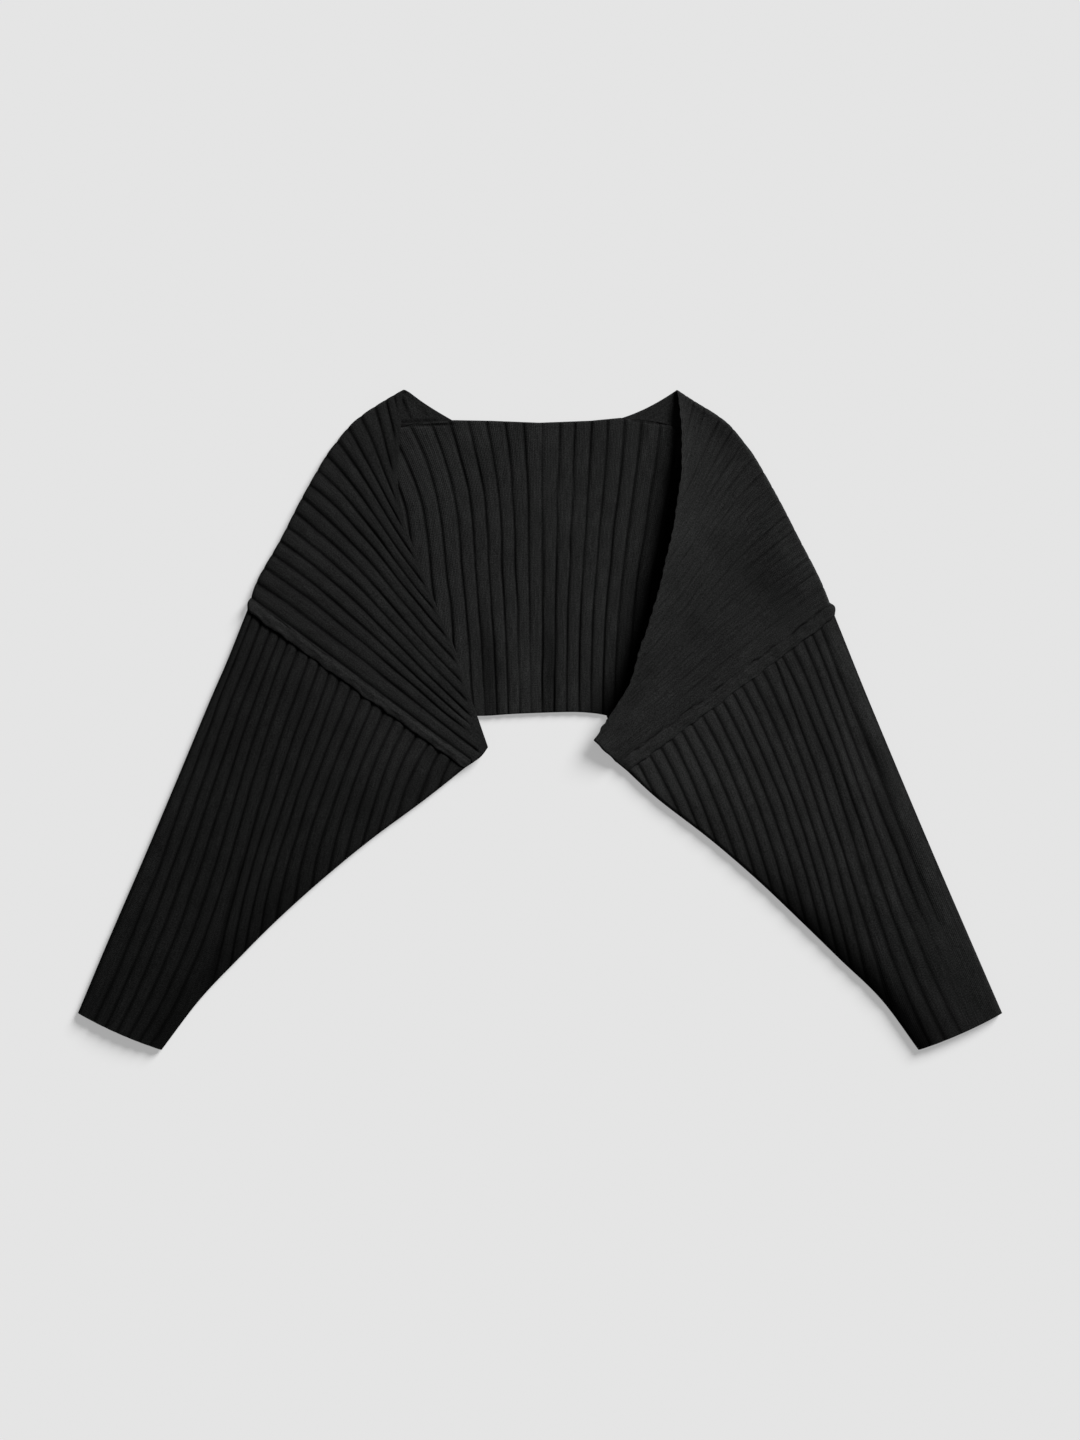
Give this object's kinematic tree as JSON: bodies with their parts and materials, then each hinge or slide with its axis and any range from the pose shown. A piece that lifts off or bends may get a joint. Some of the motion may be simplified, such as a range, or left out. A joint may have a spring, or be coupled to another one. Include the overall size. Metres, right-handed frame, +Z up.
{
  "type": "ribbed knitted shrug laid flat",
  "caption": "Cropped open-front shrug in wide rib knit, laid flat with its fronts folded over the back, long tapered sleeves and rolled armhole seams.",
  "frame": {"origin": "middle of the laid garment's outline, on the surface that it lies on", "axes": "+X towards the sleeve on the viewer's right, +Y towards the neck, +Z up off the surface"},
  "size_m": [0.85, 0.6066, 0.0195],
  "materials": {
    "rib_knit": "matt black wide rib knit, outside face",
    "rib_knit_inside": "matt black wide rib knit, inside face of the back"
  },
  "bodies": {
    "root": {"back": "rib_knit_inside", "front_left": "rib_knit", "front_right": "rib_knit", "sleeve_left": "rib_knit", "sleeve_right": "rib_knit"}
  },
  "joints": []
}
